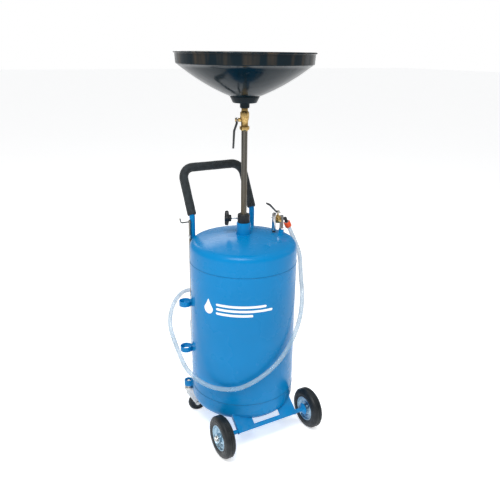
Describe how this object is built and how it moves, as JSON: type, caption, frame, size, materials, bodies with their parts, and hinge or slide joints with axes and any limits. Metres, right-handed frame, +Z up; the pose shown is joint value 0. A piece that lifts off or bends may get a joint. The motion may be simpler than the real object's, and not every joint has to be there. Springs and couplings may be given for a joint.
{
  "type": "rolling waste oil drainer",
  "caption": "Wheeled pressure tank with a sliding mast, drain bowl with ball valve, push handle and discharge hose, for draining engine oil under a raised car.",
  "frame": {"origin": "on the floor, under the centre of the tank and mast", "axes": "+Z up along the mast; the front wheels are at -Y and the push handle at +Y; X is along the front axle"},
  "size_m": [0.5266, 0.56, 1.438],
  "materials": {
    "tank_paint": "blue gloss enamel",
    "bowl_plastic": "black glossy polyethylene",
    "black_plastic": "black moulded nylon",
    "black_rubber": "black rubber",
    "plain_steel": "drawn steel, lightly oiled",
    "zinc_plate": "bright zinc plate",
    "rim_zinc": "blue-white zinc plate",
    "chrome_fitting": "chrome plate",
    "brass_fitting": "machined brass",
    "lever_vinyl": "black dipped vinyl on steel",
    "collar_plastic": "orange-red moulded plastic",
    "clear_hose": "clear PVC with a pale blue tint",
    "foam_grip": "black closed-cell foam",
    "tyre_rubber": "black rubber",
    "nylon": "natural nylon"
  },
  "bodies": {
    "cart": {"air_coupler": "chrome_fitting", "air_valve_body": "brass_fitting", "axle_bracket": "tank_paint", "axle_nuts": "zinc_plate", "axle_tube": "tank_paint", "axle_washers": "zinc_plate", "caster_ears": "tank_paint", "caster_kingpin_left": "zinc_plate", "caster_kingpin_right": "zinc_plate", "caster_nuts": "zinc_plate", "clamp_collar": "black_plastic", "coupler_cap": "black_rubber", "dip_tube": "plain_steel", "discharge_hose": "clear_hose", "discharge_wand": "zinc_plate", "front_axle": "zinc_plate", "guide_tube": "plain_steel", "handle_clips": "tank_paint", "handle_grip": "foam_grip", "handle_tube": "tank_paint", "head_boss": "tank_paint", "head_column": "chrome_fitting", "holder_rings": "tank_paint", "hose_collar": "collar_plastic", "mast_packing": "black_rubber", "mast_socket": "tank_paint", "outlet_elbow": "black_plastic", "tank_bottom_end": "tank_paint", "tank_top_end": "tank_paint", "tank_wall": "tank_paint", "wand_clips": "zinc_plate"},
    "mast_slider": {"mast_stop": "nylon"},
    "mast": {"mast_tube": "plain_steel", "drain_valve_body": "brass_fitting", "bowl_neck": "bowl_plastic", "drain_bowl": "bowl_plastic", "bowl_lock_nut": "black_plastic", "strainer": "zinc_plate"},
    "drain_lever": {"drain_valve_ball": "chrome_fitting", "drain_valve_stem": "brass_fitting", "drain_valve_lever": "lever_vinyl", "drain_valve_nut": "brass_fitting"},
    "air_lever": {"air_valve_ball": "chrome_fitting", "air_valve_stem": "brass_fitting", "air_valve_lever": "lever_vinyl", "air_valve_nut": "zinc_plate"},
    "clamp_pad_body": {"clamp_pad": "brass_fitting"},
    "knob": {"clamp_knob": "black_plastic", "clamp_screw": "zinc_plate"},
    "front_wheel_left": {"front_tyre_left": "tyre_rubber", "front_rim_left": "rim_zinc"},
    "caster_left": {"caster_fork_left": "zinc_plate", "caster_bolt_left": "zinc_plate"},
    "caster_wheel_body_left": {"caster_wheel_left": "tyre_rubber"},
    "front_wheel_right": {"front_tyre_right": "tyre_rubber", "front_rim_right": "rim_zinc"},
    "caster_right": {"caster_fork_right": "zinc_plate", "caster_bolt_right": "zinc_plate"},
    "caster_wheel_body_right": {"caster_wheel_right": "tyre_rubber"}
  },
  "joints": [
    {"name": "mast_slide", "type": "slide", "parent": "cart", "child": "mast_slider", "axis": [0, 0, 1], "range_m": [-0.23, 0.35]},
    {"name": "mast_turn", "type": "hinge", "parent": "mast_slider", "child": "mast", "pos_m": [0, 0, 0.38], "axis": [0, 0, 1], "continuous": true},
    {"name": "drain_valve_turn", "type": "hinge", "parent": "mast", "child": "drain_lever", "pos_m": [0, 0, 1.211], "axis": [-0.866, 0.5, 0], "range_deg": [0, 90]},
    {"name": "air_valve_turn", "type": "hinge", "parent": "cart", "child": "air_lever", "pos_m": [0.14119, -0.01609, 0.831], "axis": [0, 0, 1], "range_deg": [0, 90]},
    {"name": "pad_travel", "type": "slide", "parent": "cart", "child": "clamp_pad_body", "axis": [-0.866, 0.5, 0], "range_m": [0, 0.00377]},
    {"name": "knob_turn", "type": "hinge", "parent": "clamp_pad_body", "child": "knob", "pos_m": [-0.03464, 0.02, 0.851], "axis": [-0.866, 0.5, 0], "range_deg": [0, 1080]},
    {"name": "front_wheel_spin_left", "type": "hinge", "parent": "cart", "child": "front_wheel_left", "pos_m": [-0.194, -0.2, 0.08], "axis": [1, 0, 0], "continuous": true},
    {"name": "front_wheel_spin_right", "type": "hinge", "parent": "cart", "child": "front_wheel_right", "pos_m": [0.194, -0.2, 0.08], "axis": [1, 0, 0], "continuous": true},
    {"name": "caster_swivel_left", "type": "hinge", "parent": "cart", "child": "caster_left", "pos_m": [-0.18682, 0.11993, 0.125], "axis": [0, 0, 1], "continuous": true},
    {"name": "caster_roll_left", "type": "hinge", "parent": "caster_left", "child": "caster_wheel_body_left", "pos_m": [-0.15382, 0.11171, 0.0375], "axis": [0.2419, 0.9703, 0], "continuous": true},
    {"name": "caster_swivel_right", "type": "hinge", "parent": "cart", "child": "caster_right", "pos_m": [0.18682, 0.11993, 0.125], "axis": [0, 0, 1], "continuous": true},
    {"name": "caster_roll_right", "type": "hinge", "parent": "caster_right", "child": "caster_wheel_body_right", "pos_m": [0.15382, 0.11171, 0.0375], "axis": [0.2419, -0.9703, 0], "continuous": true}
  ],
  "couplings": [
    {"joint": "pad_travel", "follows": "knob_turn", "m_per_rad": 0.00019894}
  ]
}
